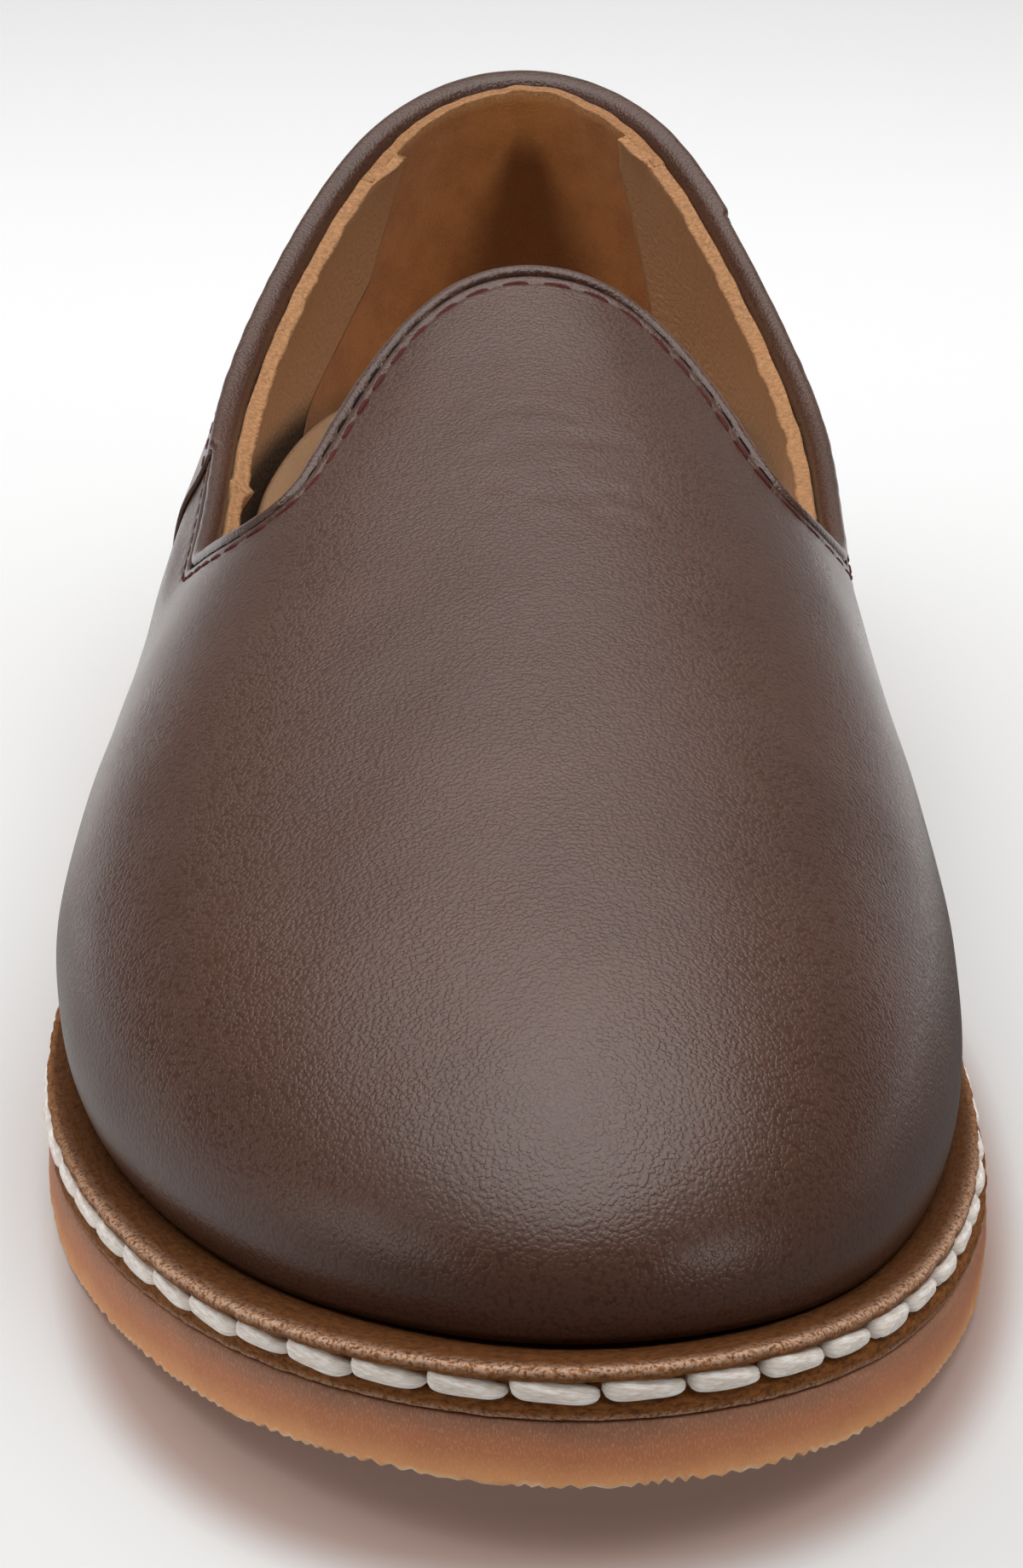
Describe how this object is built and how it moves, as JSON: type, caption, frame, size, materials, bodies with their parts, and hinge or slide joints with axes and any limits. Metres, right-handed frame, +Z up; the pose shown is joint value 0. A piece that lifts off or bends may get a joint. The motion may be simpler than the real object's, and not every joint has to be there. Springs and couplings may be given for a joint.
{
  "type": "slip-on shoe",
  "caption": "Leather slip-on shoe for the right foot with a rounded tongue peak, rolled topline, stitched leather midsole and gum rubber sole with a low heel.",
  "frame": {"origin": "centre of the shoe's bounding box on the floor plane it stands on", "axes": "+Z up, -Y towards the toe, +X towards the inner side of the foot"},
  "size_m": [0.1013, 0.2942, 0.0808],
  "materials": {
    "gum_rubber": "amber gum rubber with rasped sides",
    "edge_leather": "raw fibrous cut edge, dark brown",
    "tan_leather": "unfinished vegetable-tanned tan leather",
    "brown_leather": "smooth fine-grained dark brown leather, satin"
  },
  "bodies": {
    "root": {"outsole": "gum_rubber", "midsole": "edge_leather", "insole": "tan_leather", "upper": "brown_leather", "quarter": "brown_leather", "topline_binding": "brown_leather"}
  },
  "joints": []
}
